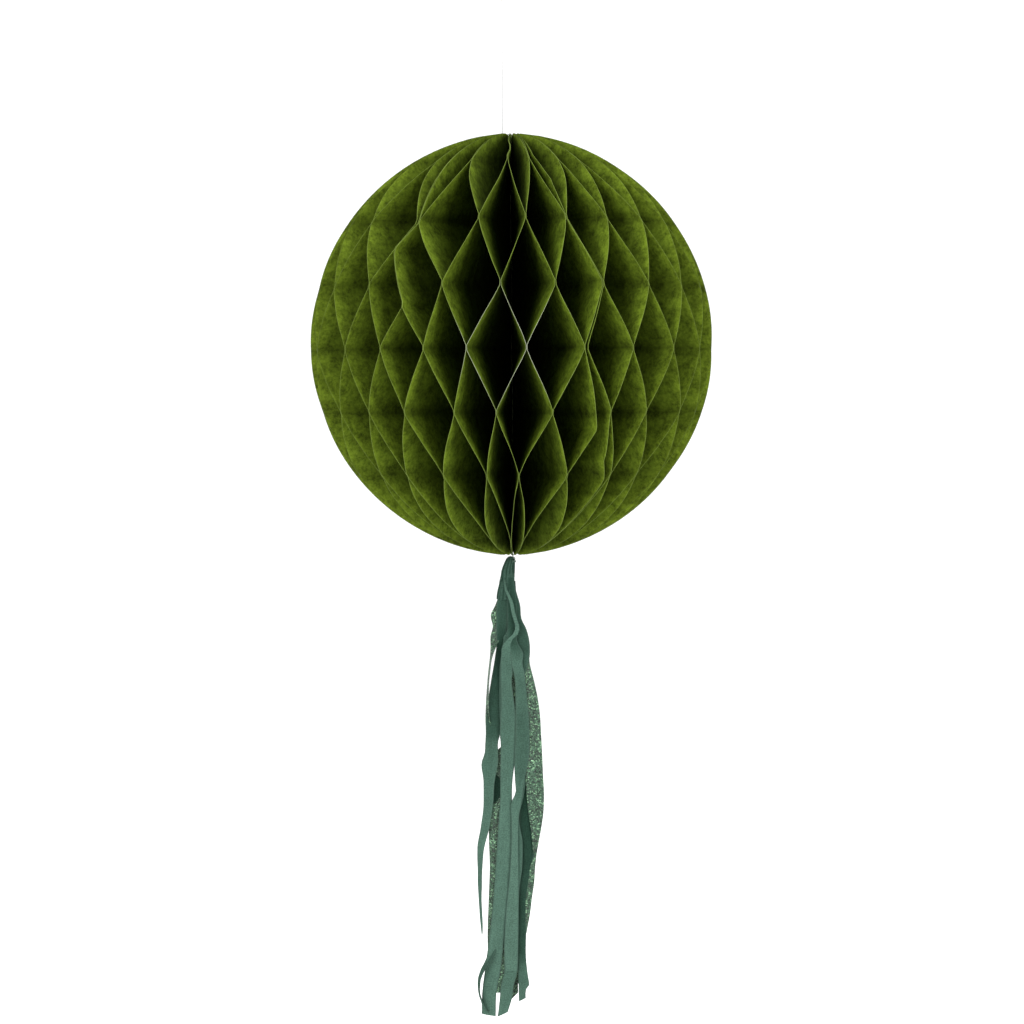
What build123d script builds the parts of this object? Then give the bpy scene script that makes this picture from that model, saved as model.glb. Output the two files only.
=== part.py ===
"""Paper honeycomb ball with a paper tassel, hanging from a thread. Millimetres, +Z up.

The origin is the point where the hanging loop rests on its hook: the inside of the loop's top.
The ball is a ring of half-disc tissue leaves. Each leaf's straight edge is bound to the upright
core, and each leaf is glued to its two neighbours along level rows, first one and then the other,
so the leaves open into diamond-shaped cells. The last leaf is taped to the first one, which closes
the ball. The front of the ball faces -Y.
"""

from build123d import *
import math
import os

os.makedirs("parts", exist_ok=True)

# Ball
ball_radius = 100.0
ball_half_height = 105.0
rim_radius = (ball_radius**2 + ball_half_height**2) / (2 * ball_radius)  # a leaf's rim is one arc
ball_drop = 190.0  # from the hook down to the ball's centre
ball_axis_x = 4.0  # the thread is tied beside the ball's axis, not on it
dimple_radius = 8.0  # shallow hollow where the leaves' corners meet at each pole
dimple_depth = 2.0

# Leaves
cell_count = 48
leaf_count = cell_count + 1  # the last leaf lies against the first one, where the ball is closed
leaf_pitch = 360.0 / cell_count
leaf_thickness = 0.16
leaf_inner_radius = 2.5
seam_inner_radius = 3.4  # the first and last leaf stand wider apart, so they start further out
leaf_reach = 104.0  # past the rim, before the ball's outline trims it
row_pitch = 29.9
middle_row = -2.8  # height of the middle glue row over the ball's centre
outer_row = 4  # the glue rows run from minus this number to plus this number
glue_half_width = 1.0
joint_offset = 0.13  # middle of the paper to the joint plane
seam_gap = 0.32  # between the middles of the first and last leaf, where tapes hold them together
seam_angle = -70.8  # direction from +X of the joint plane beside the seam, at the front right

# Seam tapes
tape_rows = (-2, 0, 2)
tape_start = 60.0
tape_length = 12.0
tape_height = 1.8
tape_thickness = (seam_gap - leaf_thickness) / 2

# Core and thread
core_radius = 2.2
core_half_height = 102.5
cap_height = 0.5
thread_radius = 0.25
bore_clearance = 0.05
loop_radius = 5.0
loop_knot_radius = 1.0
knot_radius = 0.8
knot_height = 1.4
knot_gap = 0.15  # between the leaves' tops and the knot
arm_radius = 0.3
thread_end_gap = 0.1  # the thread ends this far inside the knot's foot

# Linked loops between the ball and the tassel
ring_radius = 1.0
ring_wire = 0.22
ring_gap = 0.06
collar_radius = 1.6
collar_height = 0.8

# Tassel
neck_top_radius = 2.0
neck_foot_radius = 3.6
neck_length = 13.2
strip_thickness = 0.2
strip_pitch = 0.45
strip_top_width = 2.4
strip_shoulder = 28.0  # below the neck, where a strip reaches its full width
strip_bend = 100.0  # below the neck, where a strip's second slope starts


def pole_height(radius):
    """Height of the leaves' tops over the ball's centre, inside the dimple."""
    rim = math.sqrt(rim_radius**2 - (dimple_radius + rim_radius - ball_radius) ** 2)
    return rim - dimple_depth * (1 - radius / dimple_radius)


def row_height(row):
    """Height of a glue row over the ball's centre."""
    return middle_row + row * row_pitch


def strip_line(side, offset, inner_radius):
    """Corners of the paper's level section, with its middle at offset from the joint plane of side."""
    angle = math.radians(side * leaf_pitch / 2)
    along = (math.cos(angle), math.sin(angle))
    across = (-math.sin(angle), math.cos(angle))
    corners = []
    for reach, edge in ((inner_radius, -1), (leaf_reach, -1), (leaf_reach, 1), (inner_radius, 1)):
        shift = offset + edge * leaf_thickness / 2
        corners.append((reach * along[0] + shift * across[0], reach * along[1] + shift * across[1]))
    return corners


dimple_top = pole_height(2 * dimple_radius)
with BuildPart() as outline:
    with BuildSketch(Plane.XZ):
        with BuildLine():
            ThreePointArc((0, -ball_half_height), (ball_radius, 0), (0, ball_half_height))
            Line((0, ball_half_height), (0, -ball_half_height))
        make_face()
        for end in (-1, 1):
            with BuildLine():
                Polyline(
                    (0, end * pole_height(0)),
                    (2 * dimple_radius, end * dimple_top),
                    (0, end * dimple_top),
                    close=True,
                )
            make_face(mode=Mode.SUBTRACT)
    revolve(axis=Axis.Z)


def folded_leaf(even_side, low_offset, high_offset, inner_radius):
    """A leaf along +X at the ball's centre, on the joint plane of even_side at the even rows.

    low_offset and high_offset are the distances of its middle from the planes of side -1 and +1.
    """
    with BuildPart() as paper:
        for row in range(-outer_row, outer_row + 1):
            side = even_side if row % 2 == 0 else -even_side
            offset = low_offset if side < 0 else -high_offset
            for edge in (-glue_half_width, glue_half_width):
                with BuildSketch(Plane.XY.offset(row_height(row) + edge)):
                    Polygon(*strip_line(side, offset, inner_radius), align=None)
        loft(ruled=True)
        add(outline.part, mode=Mode.INTERSECT)
    return paper.part


odd_leaf = folded_leaf(-1, joint_offset, joint_offset, leaf_inner_radius)
even_leaf = folded_leaf(1, joint_offset, joint_offset, leaf_inner_radius)
first_leaf = folded_leaf(-1, joint_offset + seam_gap, joint_offset, seam_inner_radius)
last_leaf = folded_leaf(-1, joint_offset, joint_offset + seam_gap, seam_inner_radius)

for number in range(1, leaf_count + 1):
    pattern = odd_leaf if number % 2 else even_leaf
    if number == 1:
        pattern = first_leaf
    if number == leaf_count:
        pattern = last_leaf
    turn = seam_angle + (number - 0.5) * leaf_pitch
    with BuildPart() as leaf:
        with Locations(Location((ball_axis_x, 0, -ball_drop), (0, 0, turn))):
            add(pattern)
    leaf.part.label = f"leaf_{number:02d}"
    export_step(leaf.part, f"parts/leaf_{number:02d}.step")

seam_plane = Plane(Location((ball_axis_x, 0, -ball_drop), (0, 0, seam_angle)))
tape_middle = joint_offset + leaf_thickness / 2 + tape_thickness / 2
with BuildPart(seam_plane) as seam_tapes:
    for row in tape_rows:
        with Locations((tape_start + tape_length / 2, tape_middle, row_height(row))):
            Box(tape_length, tape_thickness, tape_height)
seam_tapes.part.label = "seam_tapes"
export_step(seam_tapes.part, "parts/seam_tapes.step")

core_top = core_half_height - ball_drop
core_foot = -core_half_height - ball_drop
with BuildPart() as spine_core:
    with Locations((ball_axis_x, 0, -ball_drop)):
        Cylinder(core_radius, 2 * core_half_height)
spine_core.part.label = "spine_core"
export_step(spine_core.part, "parts/spine_core.step")

# The knot that ties the thread to the core, a running fit round the thread's end.
knot_foot = pole_height(ball_axis_x + knot_radius) - ball_drop + knot_gap
arm_height = knot_foot + knot_height / 2
with BuildPart() as top_tie:
    with BuildSketch(Plane.XY.offset(core_top)):
        with Locations((ball_axis_x, 0)):
            Circle(core_radius)
    extrude(amount=cap_height)
    with BuildSketch(Plane.XY.offset(core_top)):
        with Locations((ball_axis_x, 0)):
            Circle(2 * arm_radius)
    extrude(amount=arm_height + arm_radius - core_top)
    with BuildSketch(Plane.YZ):
        with Locations((0, arm_height)):
            Circle(arm_radius)
    extrude(amount=ball_axis_x)
    with BuildSketch(Plane.XY.offset(knot_foot)):
        Circle(knot_radius)
    extrude(amount=knot_height)
    with BuildSketch(Plane.XY.offset(knot_foot)):
        Circle(thread_radius + bore_clearance)
    extrude(amount=knot_height, mode=Mode.SUBTRACT)
top_tie.part.label = "top_tie"
export_step(top_tie.part, "parts/top_tie.step")

loop_centre = thread_radius - loop_radius
loop_foot = loop_centre - loop_radius - thread_radius
thread_top = loop_foot - loop_knot_radius
thread_foot = knot_foot + thread_end_gap
with BuildPart() as hanging_thread:
    with BuildSketch(Plane.XY.offset(thread_foot)):
        Circle(thread_radius)
    extrude(amount=thread_top - thread_foot)
hanging_thread.part.label = "hanging_thread"
export_step(hanging_thread.part, "parts/hanging_thread.step")

with BuildPart() as hang_loop:
    with BuildSketch(Plane.XY.offset(thread_top)):
        Circle(loop_knot_radius)
    extrude(amount=loop_foot + 2 * thread_radius - thread_top)
    with Locations(Location((0, 0, loop_centre), (90, 0, 0))):
        Torus(loop_radius, thread_radius)
hang_loop.part.label = "hang_loop"
export_step(hang_loop.part, "parts/hang_loop.step")

# Three linked rings of thread: the first and last stand across the ball, the second along it.
ring_step = 2 * ring_radius - 2 * ring_wire - ring_gap
first_ring = core_foot - cap_height - ring_radius + ring_wire
second_ring = first_ring - ring_step
third_ring = second_ring - ring_step

with BuildPart() as bottom_tie:
    with BuildSketch(Plane.XY.offset(core_foot)):
        with Locations((ball_axis_x, 0)):
            Circle(core_radius)
    extrude(amount=-cap_height)
    with Locations(Location((ball_axis_x, 0, first_ring), (90, 0, 0))):
        Torus(ring_radius, ring_wire)
bottom_tie.part.label = "bottom_tie"
export_step(bottom_tie.part, "parts/bottom_tie.step")

with BuildPart() as link_loop:
    with Locations(Location((ball_axis_x, 0, second_ring), (0, 90, 0))):
        Torus(ring_radius, ring_wire)
link_loop.part.label = "link_loop"
export_step(link_loop.part, "parts/link_loop.step")

collar_top = third_ring - ring_radius + ring_wire
with BuildPart() as tassel_loop:
    with BuildSketch(Plane.XY.offset(collar_top)):
        with Locations((ball_axis_x, 0)):
            Circle(collar_radius)
    extrude(amount=-collar_height)
    with Locations(Location((ball_axis_x, 0, third_ring), (90, 0, 0))):
        Torus(ring_radius, ring_wire)
tassel_loop.part.label = "tassel_loop"
export_step(tassel_loop.part, "parts/tassel_loop.step")

neck_top = collar_top - collar_height
neck_foot = neck_top - neck_length
with BuildPart() as tassel_neck:
    with BuildSketch(Plane.XY.offset(neck_top)):
        with Locations((ball_axis_x, 0)):
            Circle(neck_top_radius)
    with BuildSketch(Plane.XY.offset(neck_foot)):
        with Locations((ball_axis_x, 0)):
            Circle(neck_foot_radius)
    loft(ruled=True)
tassel_neck.part.label = "tassel_neck"
export_step(tassel_neck.part, "parts/tassel_neck.step")

# Each strip: layer from the front, place at the shoulder, place at the bend, place at the foot,
# width, and length below the neck. Places are measured across, from the ball's axis.
tassel_strips = {
    "tissue_strips": (
        (0, 0.0, 0.0, 1.0, 10.0, 206.0),
        (2, -10.5, -13.5, -15.5, 6.0, 172.0),
        (4, -8.0, -9.0, -11.0, 9.0, 214.0),
        (5, 8.0, 11.5, 11.0, 8.0, 148.0),
        (6, -4.0, -3.5, -7.0, 9.0, 215.0),
        (9, 5.0, 6.0, 4.0, 9.0, 209.0),
        (11, -8.0, -9.0, -8.0, 9.0, 203.0),
        (12, 7.0, 9.0, 7.0, 8.0, 196.0),
        (13, 1.0, 0.0, -2.0, 10.0, 212.0),
    ),
    "glitter_strips": (
        (1, 9.0, 12.0, 5.0, 9.0, 161.0),
        (3, -9.0, -8.5, -6.0, 5.0, 168.0),
        (7, 4.0, 8.0, 8.5, 8.0, 201.0),
        (8, -8.0, -10.0, -12.0, 7.0, 211.0),
        (10, 2.0, 1.0, 0.0, 7.0, 190.0),
    ),
}
layer_count = sum(len(strips) for strips in tassel_strips.values())


def strip_outline(shoulder, bend, foot, width, length):
    """Outline of a hanging strip, from its gathered top to its cut end."""
    stations = (
        (0.0, 0.0, strip_top_width),
        (strip_shoulder, shoulder, width),
        (strip_bend, bend, width),
        (length, foot, width),
    )
    left = [(ball_axis_x + x - w / 2, neck_foot - drop) for drop, x, w in stations]
    right = [(ball_axis_x + x + w / 2, neck_foot - drop) for drop, x, w in stations]
    return left + right[::-1]


for name, strips in tassel_strips.items():
    with BuildPart() as strip_group:
        for layer, shoulder, bend, foot, width, length in strips:
            depth = (layer - (layer_count - 1) / 2) * strip_pitch
            with BuildSketch(Plane.XZ.offset(-depth)):
                Polygon(*strip_outline(shoulder, bend, foot, width, length), align=None)
            extrude(amount=strip_thickness / 2, both=True)
    strip_group.part.label = name
    export_step(strip_group.part, f"parts/{name}.step")

print("thread length", thread_top - thread_foot)
print("first ring", first_ring, "second", second_ring, "third", third_ring, "neck foot", neck_foot)
print("knot foot", knot_foot, "core top", core_top, "core foot", core_foot)
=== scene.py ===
"""Paper honeycomb ball with a hanging tassel: its tissue, thread, strips, finishes, light and view.

Lengths in the ball's, thread's and tassel's classes are millimetres. The studio's are metres, as every
mesh is, +Z up, with the ball's front facing -Y. Azimuths are degrees round the ball's axis, 0 at the
front and positive towards +X.
"""

import logging
import math
from dataclasses import dataclass, field
from enum import Enum

import bmesh
import bpy
import numpy as np
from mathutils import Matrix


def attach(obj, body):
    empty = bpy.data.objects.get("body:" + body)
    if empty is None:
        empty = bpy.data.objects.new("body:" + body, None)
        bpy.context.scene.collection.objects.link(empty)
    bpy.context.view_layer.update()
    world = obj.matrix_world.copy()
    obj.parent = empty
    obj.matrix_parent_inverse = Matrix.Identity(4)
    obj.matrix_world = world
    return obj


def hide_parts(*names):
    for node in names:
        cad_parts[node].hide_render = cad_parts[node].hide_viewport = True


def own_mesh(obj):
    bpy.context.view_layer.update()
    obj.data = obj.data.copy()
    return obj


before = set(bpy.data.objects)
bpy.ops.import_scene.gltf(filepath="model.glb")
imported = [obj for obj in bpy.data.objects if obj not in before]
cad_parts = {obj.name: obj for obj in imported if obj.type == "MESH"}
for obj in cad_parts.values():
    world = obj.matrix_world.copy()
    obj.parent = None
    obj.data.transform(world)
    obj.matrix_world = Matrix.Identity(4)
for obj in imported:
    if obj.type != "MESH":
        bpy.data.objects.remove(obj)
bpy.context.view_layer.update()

log = logging.getLogger("honeycomb")
MM = 0.001
BALL_AXIS_X = 4.0
BALL_DROP = 190.0


class Slot(Enum):
    """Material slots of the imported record."""

    TISSUE = "green_tissue"
    SAGE = "sage_tissue"
    GLITTER = "glitter_paper"
    THREAD = "white_thread"
    TAPE = "tape"


class Paper(Enum):
    """What a tassel strip is cut from."""

    TISSUE = "tissue"
    GLITTER = "glitter"


# ---------------------------------------------------------------- shapes


def smooth(t: np.ndarray) -> np.ndarray:
    """Smooth step: 3t^2 - 2t^3 with t held between 0 and 1.

    Args:
        t: how far along each place is.

    Returns:
        The eased values, from 0 to 1.
    """
    t = np.clip(t, 0.0, 1.0)
    return t * t * (3.0 - 2.0 * t)


def waves(points: np.ndarray, seed: int, length: float, count: int = 6) -> np.ndarray:
    """Sum of plane waves in seeded directions, from about -1 to 1.

    Args:
        points: (..., 2) places on a sheet.
        seed: picks directions and phases.
        length: longest wave, in the same unit as points.
        count: number of waves, each shorter than the last.

    Returns:
        One value per place.
    """
    rng = np.random.default_rng(seed)
    turn = rng.uniform(0.0, 2.0 * math.pi, count)
    phase = rng.uniform(0.0, 2.0 * math.pi, count)
    span = length / 1.45 ** np.arange(count)
    across = np.stack((np.cos(turn), np.sin(turn))) * (2.0 * math.pi / span)
    share = 1.0 / 1.3 ** np.arange(count)
    return (np.sin(points @ across + phase) * share).sum(-1) / share.sum() * 1.6


def through(stations: np.ndarray, places: np.ndarray) -> np.ndarray:
    """Smooth line through stations: cubic Hermite pieces with the stations' own slopes.

    Args:
        stations: (n, k) rows whose first column rises.
        places: values of the first column to work out.

    Returns:
        (m, k - 1) values of the other columns.
    """
    x, y = stations[:, 0], stations[:, 1:]
    step = np.diff(x)[:, None]
    chord = np.diff(y, axis=0) / step
    inner = (chord[:-1] * step[1:] + chord[1:] * step[:-1]) / (step[1:] + step[:-1])
    slope = np.vstack((chord[:1], inner, chord[-1:]))
    slope[1:-1] = np.where(chord[:-1] * chord[1:] > 0.0, slope[1:-1], slope[1:-1] * 0.25)
    k = np.clip(np.searchsorted(x, places, side="right") - 1, 0, len(x) - 2)
    t = ((places - x[k]) / (x[k + 1] - x[k]))[:, None]
    h = (x[k + 1] - x[k])[:, None]
    return (
        (2 * t**3 - 3 * t**2 + 1) * y[k]
        + (t**3 - 2 * t**2 + t) * h * slope[k]
        + (3 * t**2 - 2 * t**3) * y[k + 1]
        + (t**3 - t**2) * h * slope[k + 1]
    )


def put_mesh(
    name: str,
    points: np.ndarray,
    quads: np.ndarray,
    uv: np.ndarray,
    values: dict[str, np.ndarray],
    crease: float = 40.0,
) -> bpy.types.Object:
    """Makes an object from arrays, at the origin, with its faces turned outwards.

    Args:
        name: object name.
        points: (n, 3) places in millimetres.
        quads: (m, 4) corner numbers.
        uv: (n, 2) sheet place of each point.
        values: float attributes, one value per point.
        crease: degrees between two faces past which the edge between them is sharp.

    Returns:
        The new object, linked to the scene.
    """
    mesh = bpy.data.meshes.new(name)
    mesh.from_pydata((points * MM).tolist(), [], quads.tolist())
    shell = bmesh.new()
    shell.from_mesh(mesh)
    bmesh.ops.recalc_face_normals(shell, faces=shell.faces)
    shell.to_mesh(mesh)
    shell.free()
    corner = np.zeros(len(mesh.loops), np.int32)
    mesh.loops.foreach_get("vertex_index", corner)
    mesh.uv_layers.new(name="sheet").data.foreach_set("uv", uv[corner].astype(np.float32).ravel())
    for key, value in values.items():
        layer = mesh.attributes.new(key, "FLOAT", "POINT")
        layer.data.foreach_set("value", value.astype(np.float32).ravel())
    mesh.shade_smooth()
    mesh.set_sharp_from_angle(angle=math.radians(crease))
    piece = bpy.data.objects.new(name, mesh)
    bpy.context.scene.collection.objects.link(piece)
    return piece


def shell_quads(rows: int, columns: int) -> np.ndarray:
    """Faces of a thin closed sheet whose rings run out along one face and home along the other.

    Args:
        rows: number of rings.
        columns: points of a ring on one face.

    Returns:
        (m, 4) corner numbers: the sides of the rings, then a ladder across the first and last ring.
    """
    ring = 2 * columns
    i, j = np.meshgrid(np.arange(rows - 1), np.arange(ring), indexing="ij")
    k = (j + 1) % ring
    here, ahead = i * ring, (i + 1) * ring
    sides = np.stack((here + j, here + k, ahead + k, ahead + j), -1).reshape(-1, 4)
    step = np.arange(columns - 1)
    ladder = np.stack((step, ring - 1 - step, ring - 2 - step, step + 1), -1)
    return np.vstack((sides, ladder, ladder[:, ::-1] + (rows - 1) * ring))


def thin_sheet(
    name: str,
    middle: np.ndarray,
    across: np.ndarray,
    half: np.ndarray,
    uv: np.ndarray,
    values: dict[str, np.ndarray],
) -> bpy.types.Object:
    """A sheet of paper: its two faces stand half its thickness to each side of its middle surface.

    Args:
        name: object name.
        middle: (rows, columns, 3) middle surface, in millimetres.
        across: (rows, columns, 3) unit vectors through the paper.
        half: (rows, columns) half thickness.
        uv: (rows, columns, 2) sheet places.
        values: attributes on the middle surface, (rows, columns) each.

    Returns:
        The closed sheet.
    """
    rows, columns = middle.shape[:2]
    faces = [middle + across * half[..., None], middle - across * half[..., None]]
    points = np.concatenate((faces[0], faces[1][:, ::-1]), 1).reshape(-1, 3)
    double = {key: np.concatenate((v, v[:, ::-1]), 1).ravel() for key, v in values.items()}
    return put_mesh(
        name,
        points,
        shell_quads(rows, columns),
        np.concatenate((uv, uv[:, ::-1]), 1).reshape(-1, 2),
        double,
    )


# ---------------------------------------------------------------- finishes


class Nodes:
    """Short hand for building one node tree."""

    def __init__(self, tree: bpy.types.NodeTree) -> None:
        """Starts on a tree and empties it."""
        self.tree = tree
        tree.nodes.clear()

    def add(self, kind: str, **settings: object) -> bpy.types.Node:
        """Adds a node and sets its plain properties.

        Args:
            kind: node type name.
            settings: properties by name.

        Returns:
            The node.
        """
        node = self.tree.nodes.new(kind)
        for key, value in settings.items():
            setattr(node, key, value)
        return node

    def link(self, source: bpy.types.NodeSocket, target: bpy.types.NodeSocket) -> None:
        """Joins two sockets."""
        self.tree.links.new(source, target)

    def feed(self, socket: bpy.types.NodeSocket, value: object) -> None:
        """Sets a socket to a number or colour, or joins it to another socket.

        Args:
            socket: the input.
            value: a number, a colour, a socket, or None to leave the input as it is.
        """
        if isinstance(value, bpy.types.NodeSocket):
            self.link(value, socket)
        elif value is not None:
            socket.default_value = value

    def math(self, operation: str, a: object, b: object = None) -> bpy.types.NodeSocket:
        """Adds a Math node.

        Args:
            operation: Blender's name of the operation.
            a: first input, a number or a socket.
            b: second input.

        Returns:
            Its output.
        """
        node = self.add("ShaderNodeMath", operation=operation)
        self.feed(node.inputs[0], a)
        self.feed(node.inputs[1], b)
        return node.outputs[0]

    def mix(self, factor: object, a: object, b: object, blend: str = "MIX") -> bpy.types.NodeSocket:
        """Adds a colour Mix node.

        Args:
            factor: share of b.
            a: first colour.
            b: second colour.
            blend: Blender's name of the mode.

        Returns:
            Its output.
        """
        node = self.add("ShaderNodeMix", data_type="RGBA", blend_type=blend)
        self.feed(node.inputs["Factor"], factor)
        self.feed(node.inputs[6], a)
        self.feed(node.inputs[7], b)
        return node.outputs[2]

    def span(
        self, value: object, low: float, high: float, start: float = 0.0, end: float = 1.0
    ) -> bpy.types.NodeSocket:
        """Adds a smooth Map Range node.

        Args:
            value: what is mapped.
            low: value that gives start.
            high: value that gives end.
            start: result at low.
            end: result at high.

        Returns:
            Its output.
        """
        node = self.add("ShaderNodeMapRange", interpolation_type="SMOOTHSTEP")
        for socket, number in zip(node.inputs, (value, low, high, start, end)):
            self.feed(socket, number)
        return node.outputs[0]

    def noise(
        self, vector: object, scale: float, detail: float = 3.0, rough: float = 0.55
    ) -> bpy.types.NodeSocket:
        """Adds a Noise Texture.

        Args:
            vector: where it is read.
            scale: cells per unit.
            detail: octaves.
            rough: share of the finer octaves.

        Returns:
            Its value.
        """
        node = self.add("ShaderNodeTexNoise")
        for key, value in (("Vector", vector), ("Scale", scale), ("Detail", detail), ("Roughness", rough)):
            self.feed(node.inputs[key], value)
        return node.outputs["Fac"]

    def stretch(self, vector: object, scale: tuple[float, float, float]) -> bpy.types.NodeSocket:
        """Adds a Mapping node that scales a place by axis.

        Args:
            vector: the place.
            scale: factor along each axis.

        Returns:
            The scaled place.
        """
        node = self.add("ShaderNodeMapping")
        self.feed(node.inputs["Vector"], vector)
        node.inputs["Scale"].default_value = scale
        return node.outputs[0]


def group(name: str, inputs: dict[str, tuple[str, object]], outputs: dict[str, str]) -> bpy.types.NodeTree:
    """Makes an empty shader node group.

    Args:
        name: group name.
        inputs: socket kind and value by name.
        outputs: socket kind by name.

    Returns:
        The group's tree.
    """
    tree = bpy.data.node_groups.new(name, "ShaderNodeTree")
    for key, (kind, value) in inputs.items():
        socket = tree.interface.new_socket(key, in_out="INPUT", socket_type=kind)
        if value is not None:
            socket.default_value = value
    for key, kind in outputs.items():
        tree.interface.new_socket(key, in_out="OUTPUT", socket_type=kind)
    return tree


def fibre_group() -> bpy.types.NodeTree:
    """Tissue fibres: soft clouds of thicker and thinner pulp, fine fibres and small specks.

    Returns:
        A group from Vector (metres on the sheet), Cloud, Speck and Grain to Tone, round 1, and Height.
    """
    tree = group(
        "tissue_fibre",
        {
            "Vector": ("NodeSocketVector", None),
            "Cloud": ("NodeSocketFloat", 0.3),
            "Speck": ("NodeSocketFloat", 0.2),
            "Grain": ("NodeSocketFloat", 480.0),
        },
        {"Tone": "NodeSocketFloat", "Height": "NodeSocketFloat"},
    )
    n = Nodes(tree)
    start, end = n.add("NodeGroupInput"), n.add("NodeGroupOutput")
    place = start.outputs["Vector"]
    cloud = n.math("SUBTRACT", n.span(n.noise(place, 150.0, 5.0, 0.68), 0.32, 0.68), 0.5)
    fibre = n.math("SUBTRACT", n.noise(n.stretch(place, (1.0, 0.35, 1.0)), 900.0, 3.0, 0.6), 0.5)
    speck = n.math("SUBTRACT", n.span(n.noise(place, start.outputs["Grain"], 2.0, 0.7), 0.4, 0.62), 0.4)
    tone = n.math("ADD", n.math("MULTIPLY", cloud, start.outputs["Cloud"]), 1.0)
    tone = n.math("SUBTRACT", tone, n.math("MULTIPLY", speck, start.outputs["Speck"]))
    tone = n.math("ADD", tone, n.math("MULTIPLY", fibre, 0.3))
    n.link(tone, end.inputs["Tone"])
    height = n.math("ADD", n.math("MULTIPLY", fibre, 0.6), n.math("MULTIPLY", cloud, 0.4))
    n.link(height, end.inputs["Height"])
    return tree


def ply_group() -> bpy.types.NodeTree:
    """Twisted plies of a thread: slanted stripes round the thread's own line.

    Returns:
        A group from Vector (metres) and Pitch (stripes per metre) to Mask and Height.
    """
    tree = group(
        "thread_ply",
        {"Vector": ("NodeSocketVector", None), "Pitch": ("NodeSocketFloat", 1500.0)},
        {"Mask": "NodeSocketFloat", "Height": "NodeSocketFloat"},
    )
    n = Nodes(tree)
    start, end = n.add("NodeGroupInput"), n.add("NodeGroupOutput")
    parts = n.add("ShaderNodeSeparateXYZ")
    n.link(start.outputs["Vector"], parts.inputs[0])
    level = n.math("ADD", parts.outputs["X"], parts.outputs["Y"])
    slant = n.math("ADD", parts.outputs["Z"], n.math("MULTIPLY", level, 0.8))
    full_turn = 6.2832
    turns = n.math("MULTIPLY", start.outputs["Pitch"], full_turn)
    stripe = n.math("SINE", n.math("MULTIPLY", slant, turns))
    n.link(n.span(stripe, -1.0, 1.0), end.inputs["Mask"])
    n.link(stripe, end.inputs["Height"])
    return tree


FIBRE = fibre_group()
PLY = ply_group()


def principled(name: str) -> tuple[Nodes, bpy.types.Material, bpy.types.Node]:
    """Starts a material with one Principled shader.

    Args:
        name: material name.

    Returns:
        The node helper, the material and the shader.
    """
    material = bpy.data.materials.new(name)
    material.use_nodes = True
    n = Nodes(material.node_tree)
    shader = n.add("ShaderNodeBsdfPrincipled")
    out = n.add("ShaderNodeOutputMaterial")
    n.link(shader.outputs[0], out.inputs["Surface"])
    return n, material, shader


def bump(
    n: Nodes, shader: bpy.types.Node, height: bpy.types.NodeSocket, strength: float, distance: float
) -> None:
    """Raises a surface's fine relief: joins height to the shader's normal through a Bump node.

    Args:
        n: the material's nodes.
        shader: the Principled shader.
        height: the relief.
        strength: share of the relief that shows.
        distance: metres that a height of 1 stands for.
    """
    node = n.add("ShaderNodeBump")
    node.inputs["Strength"].default_value = strength
    node.inputs["Distance"].default_value = distance
    n.link(height, node.inputs["Height"])
    n.link(node.outputs[0], shader.inputs["Normal"])


@dataclass(frozen=True)
class TissueFinish:
    """Matte tissue paper, with painted light towards its rim and painted shade deeper in, and painted edge
    light and shade that change with the angle its cut edge is seen at.
    """

    name: str
    lit: tuple[float, float, float]
    painted_shade: tuple[float, float, float]
    cut: tuple[float, float, float]
    turned: tuple[float, float, float]
    cloud: float
    speck: float
    grain: float
    # How much the glue rows darken: the glue line, and the painted shade round the joint.
    glue: float = 0.0

    def make(self) -> bpy.types.Material:
        """Builds the material from fibres, the painted rim light and depth shade, the glue bands with their
        painted shade, and the painted light and shade of the cut edge.

        Returns:
            The material.
        """
        n, material, shader = principled(self.name)
        place = n.add("ShaderNodeUVMap", uv_map="sheet").outputs[0]
        fibre = n.add("ShaderNodeGroup", node_tree=FIBRE)
        n.link(place, fibre.inputs["Vector"])
        fibre.inputs["Cloud"].default_value = self.cloud
        fibre.inputs["Speck"].default_value = self.speck
        fibre.inputs["Grain"].default_value = self.grain
        glow = n.add("ShaderNodeAttribute", attribute_name="painted_light").outputs["Fac"]
        edge = n.add("ShaderNodeAttribute", attribute_name="cut_edge").outputs["Fac"]
        # Painted light: the lit colour near the rim, fading to a painted shade colour deep in the cells.
        colour = n.mix(glow, (*self.painted_shade, 1.0), (*self.lit, 1.0))
        colour = n.mix(1.0, colour, fibre.outputs["Tone"], "MULTIPLY")
        # Darker along the glue rows: the glue line itself, and a broader painted shade round the joint.
        if self.glue:
            band = n.add("ShaderNodeAttribute", attribute_name="glue_and_shade_band").outputs["Fac"]
            shade = n.math("SUBTRACT", 1.0, n.math("MULTIPLY", band, self.glue))
            colour = n.mix(1.0, colour, shade, "MULTIPLY")
        # Painted edge light and shade, by the angle the cut edge is seen at: the cut colour where it faces
        # the camera, the turned colour a little off that, and the painted shade colour at a glancing angle,
        # which draws a dark outline.
        facing = n.add("ShaderNodeLayerWeight")
        facing.inputs["Blend"].default_value = 0.5
        away = n.span(facing.outputs["Facing"], 0.0, 0.07)
        rim = n.mix(away, (*self.cut, 1.0), (*self.turned, 1.0))
        rim = n.mix(n.span(facing.outputs["Facing"], 0.6, 0.9), rim, (*self.painted_shade, 1.0))
        n.link(n.mix(edge, colour, rim), shader.inputs["Base Color"])
        n.link(n.span(fibre.outputs["Tone"], 0.6, 1.4, 0.95, 0.8), shader.inputs["Roughness"])
        shader.inputs["Specular IOR Level"].default_value = 0.04
        bump(n, shader, fibre.outputs["Height"], 0.35, 0.0002)
        return material


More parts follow.
